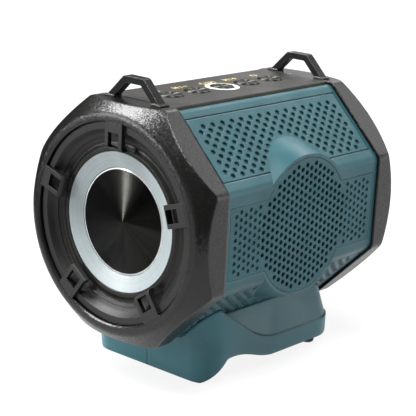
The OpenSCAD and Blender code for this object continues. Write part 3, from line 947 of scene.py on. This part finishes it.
def slash(x):
    """A leaning stroke between two signs."""
    return [
        (x - SLASH_LEAN, -MARK_HALF),
        (x - SLASH_LEAN + SLASH_STROKE, -MARK_HALF),
        (x + SLASH_LEAN, MARK_HALF),
        (x + SLASH_LEAN - SLASH_STROKE, MARK_HALF),
    ]


def bow(x, y, start, end, steps=18):
    """Part of a ring, from one angle to another in degrees."""
    outside = arc(x, y, MARK_HALF, start, end, steps)
    return outside + arc(x, y, RING_INSIDE, end, start, steps)


PLAY_MARK = [
    triangle(-3.6, 3.0),
    bar(0.6, 0.0, PAUSE_STROKE, MARK_TALL),
    bar(2.0, 0.0, PAUSE_STROKE, MARK_TALL),
]
PREVIOUS_MARK = [
    bar(-4.6, 0.0, STROKE, MARK_TALL),
    triangle(-1.9, -2.4),
    slash(0.2),
    bar(3.0, 0.0, SIGN_SPAN, SIGN_STROKE),
]
POWER_MARK = [
    bow(-2.4, -0.2, 130.0, 410.0),
    bar(-2.4, 1.1, STROKE, 2.0),
    slash(0.9),
    triangle(2.4, 2.4),
    bar(5.6, 0.0, STROKE, MARK_TALL),
]
NEXT_MARK = [
    triangle(-4.6, 2.4),
    bar(-1.9, 0.0, STROKE, MARK_TALL),
    slash(0.2),
    bar(3.0, 0.0, SIGN_SPAN, SIGN_STROKE),
    bar(3.0, 1.0, SIGN_STROKE, 1.2),
    bar(3.0, -1.0, SIGN_STROKE, 1.2),
]
MODE_MARK = [
    bow(0.0, 0.0, 30.0, 170.0),
    bow(0.0, 0.0, 210.0, 350.0),
    [(1.0, 0.2), (2.3, 0.2), (1.7, 1.4)],
    [(-1.0, -0.2), (-2.3, -0.2), (-1.7, -1.4)],
]


def printed_mark(name, outlines, button):
    """A thin print on the panel behind a button, counted from the middle one."""
    shape = bmesh.new()
    for outline in outlines:
        spots = [
            (button * BUTTON_PITCH + x * MARK_SCALE * MM, (MARK_Y + y * MARK_SCALE) * MM)
            for x, y in outline
        ]
        low = [shape.verts.new((*spot, PANEL_TOP - MARK_SUNK)) for spot in spots]
        high = [shape.verts.new((*spot, PANEL_TOP + MARK_THICK)) for spot in spots]
        shape.faces.new(high)
        shape.faces.new(low[::-1])
        for spot in range(len(spots)):
            further = (spot + 1) % len(spots)
            shape.faces.new((low[spot], low[further], high[further], high[spot]))
    piece = new_piece(name, closed_mesh(name, shape), GOLD_PRINT, smooth=False)
    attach(piece, "speaker")


printed_mark("play_mark", PLAY_MARK, -2)
printed_mark("previous_mark", PREVIOUS_MARK, -1)
printed_mark("power_mark", POWER_MARK, 0)
printed_mark("next_mark", NEXT_MARK, 1)
printed_mark("mode_mark", MODE_MARK, 2)


# Studio: floor, boards, lamps and world

WHITE = (1.0, 1.0, 1.0, 1.0)
FLOOR_HALF = 12.0
FLOOR_TONES = ((0.37, 0.37, 0.37, 1.0), (0.39, 0.39, 0.39, 1.0))
SHADOW_TONE = (0.12, 0.12, 0.12, 1.0)
LIFT_NEAR, LIFT_FAR = 0.88, 0.97
LIFT_FROM, LIFT_TO = 0.15, 1.2
WORLD_LIGHT = 0.07
AIM = Vector((0.0, 0.0, 0.08))


def floor_finish():
    """White floor: camera and mirror rays see white, and the object's shadow stays on it."""
    material = bpy.data.materials.new("studio_floor")
    material.use_nodes = True
    tree = material.node_tree
    tree.nodes.clear()
    place = object_place(tree)
    cloud = add(tree, "ShaderNodeTexNoise", {"Vector": place, "Scale": 3.0}).outputs[0]
    matt = add(tree, "ShaderNodeBsdfDiffuse", {"Color": blended(tree, cloud, *FLOOR_TONES)})
    shaded = add(tree, "ShaderNodeBsdfDiffuse", {"Color": SHADOW_TONE})
    away = vectors(tree, "LENGTH", place).outputs["Value"]
    lift = ranged(tree, away, LIFT_FROM, LIFT_TO, LIFT_NEAR, LIFT_FAR)
    glow = add(tree, "ShaderNodeEmission", {"Color": WHITE, "Strength": lift})
    both = add(tree, "ShaderNodeAddShader", {0: shaded.outputs[0], 1: glow.outputs[0]})
    light = add(tree, "ShaderNodeLightPath").outputs
    seen = sums(tree, "MAXIMUM", light["Is Camera Ray"], light["Is Glossy Ray"])
    seen = sums(tree, "MAXIMUM", seen, light["Is Transmission Ray"])
    chosen = add(
        tree, "ShaderNodeMixShader", {0: seen, 1: matt.outputs[0], 2: both.outputs[0]}
    )
    add(tree, "ShaderNodeOutputMaterial", {0: chosen.outputs[0]})
    return material


def board_finish():
    """Black board with faint smears."""
    material, tree, surface = new_finish("black_board")
    marks = use(tree, HANDLING, Roughness=0.85, Spread=0.1)
    tone = blended(tree, marks["Smear"], paint(10, 10, 10), paint(16, 16, 16))
    tree.links.new(tone, surface["Base Color"])
    tree.links.new(marks["Roughness"], surface["Roughness"])
    return material


def flat_sheet(name, corners, material):
    """A flat sheet of the studio from its four corners."""
    mesh = bpy.data.meshes.new(name)
    mesh.from_pydata(corners, [], [(0, 1, 2, 3)])
    return new_piece(name, mesh, material, smooth=False)


def make_floor():
    """The studio's floor under the object."""
    half = FLOOR_HALF
    corners = [(-half, -half, 0), (half, -half, 0), (half, half, 0), (-half, half, 0)]
    floor = flat_sheet("studio_floor", corners, floor_finish())


def dark_board(name, material, place, width, height, degrees):
    """A black board on the studio floor that keeps reflections dark on its side."""
    half = width / 2
    corners = [(-half, 0, 0), (half, 0, 0), (half, 0, height), (-half, 0, height)]
    board = flat_sheet(name, corners, material)
    board.location = place
    board.rotation_euler = (0, 0, math.radians(degrees))
    board.visible_camera = False
    board.visible_shadow = False
    board.visible_diffuse = False


def softbox(name, direction, distance, size, power):
    """A square lamp that faces the object from a direction."""
    data = bpy.data.lights.new(name, "AREA")
    data.shape = "SQUARE"
    data.size = size
    data.energy = power
    lamp = bpy.data.objects.new(name, data)
    bpy.context.scene.collection.objects.link(lamp)
    away = Vector(direction).normalized()
    lamp.location = AIM + away * distance
    lamp.visible_camera = False
    lamp.rotation_mode = "QUATERNION"
    lamp.rotation_quaternion = away.to_track_quat("Z", "Y")


BOARDS = {
    "rear_board": dict(place=(0.05, 0.34, 0.0), width=0.70, height=0.30, degrees=0),
    "near_board": dict(place=(-0.36, -0.26, 0.0), width=0.34, height=0.12, degrees=-45),
    "left_board": dict(place=(-0.26, 0.15, 0.0), width=0.30, height=0.07, degrees=49),
}
LAMPS = {
    "top_lamp": dict(direction=(-0.12, -0.30, 0.946), distance=2.2, size=0.6, power=46.0),
    "back_lamp": dict(direction=(-0.33, 0.52, 0.79), distance=2.0, size=0.8, power=62.0),
    "streak_lamp": dict(direction=(-0.50, 0.625, 0.60), distance=2.0, size=0.35, power=12.0),
    "far_lamp": dict(direction=(0.70, 0.61, 0.26), distance=2.6, size=2.0, power=11.5),
    "edge_lamp": dict(direction=(0.73, 0.23, 0.64), distance=2.4, size=0.6, power=8.0),
    "right_lamp": dict(direction=(0.734, -0.264, 0.624), distance=2.4, size=1.2, power=12.0),
    "front_card": dict(direction=(0.70, -0.68, 0.16), distance=2.2, size=0.9, power=8.0),
    "left_card": dict(direction=(-0.85, -0.35, 0.12), distance=2.0, size=1.2, power=2.0),
    "left_back_card": dict(direction=(-0.76, 0.62, 0.18), distance=2.0, size=0.75, power=22.0),
}

make_floor()
BLACK_BOARD = board_finish()
for name, board in BOARDS.items():
    dark_board(name, BLACK_BOARD, **board)
for name, lamp in LAMPS.items():
    softbox(name, **lamp)

world = bpy.data.worlds.new("studio_world")
bpy.context.scene.world = world
world.use_nodes = True
sky = world.node_tree.nodes["Background"].inputs
sky["Color"].default_value = WHITE
sky["Strength"].default_value = WORLD_LIGHT
bpy.context.scene.view_settings.view_transform = "Standard"

bpy.context.view_layer.update()
